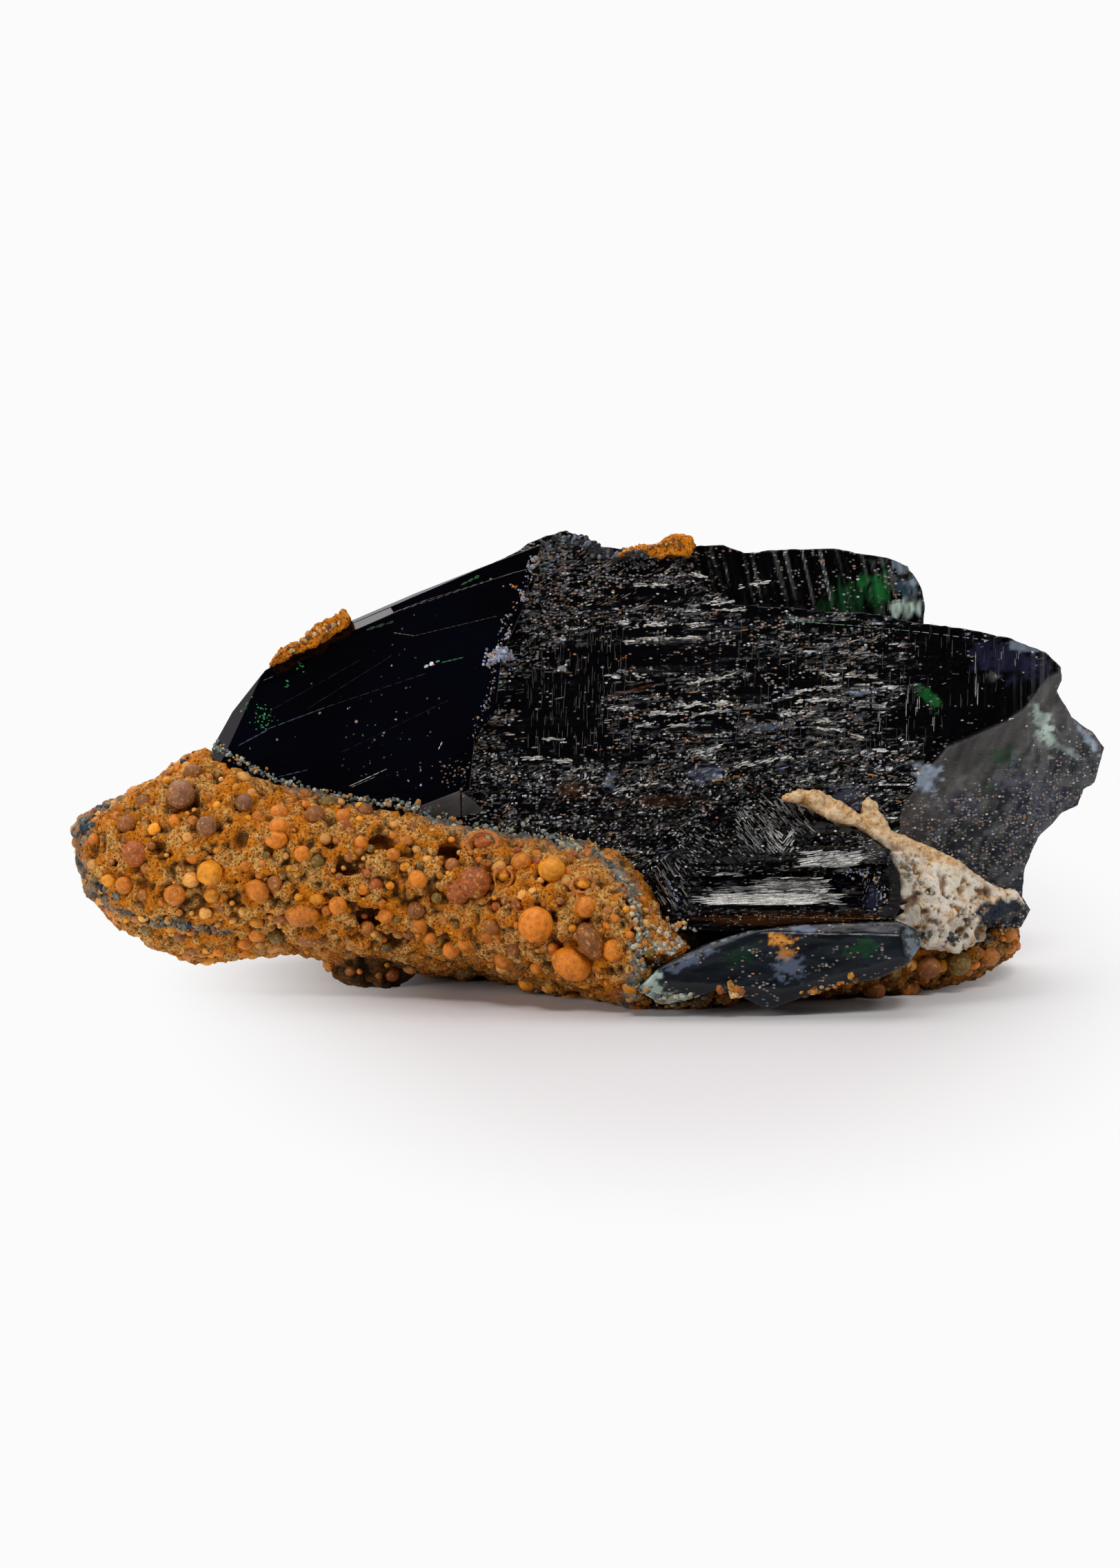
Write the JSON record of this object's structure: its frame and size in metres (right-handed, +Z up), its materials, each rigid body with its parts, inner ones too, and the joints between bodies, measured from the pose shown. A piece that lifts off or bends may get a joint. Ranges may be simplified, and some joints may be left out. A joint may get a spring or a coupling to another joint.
{
  "type": "vivianite crystal",
  "caption": "Dark bladed vivianite crystal group, smooth at one end and fibrous and stepped at the other, grown on a low block of oolitic ironstone with a chalky fossil.",
  "frame": {"origin": "centre of the bounding box's underside, on the surface that the ironstone rests on", "axes": "+X along the specimen's length, towards the thin wing of the crystal; +Y away from the crystal's striated front; +Z up"},
  "size_m": [0.1, 0.0404, 0.0434],
  "materials": {
    "vivianite": "glassy to pearly, black with green and blue lights",
    "ironstone": "rough, earthy cement with waxy ooids",
    "chalky_fossil": "matt, porous"
  },
  "bodies": {
    "root": {"main_crystal": "vivianite", "stub_crystal": "vivianite", "front_blade": "vivianite", "shell_fossil": "chalky_fossil", "ironstone_matrix": "ironstone", "ore_scab_left": "ironstone", "ore_scab_top": "ironstone"}
  },
  "joints": []
}
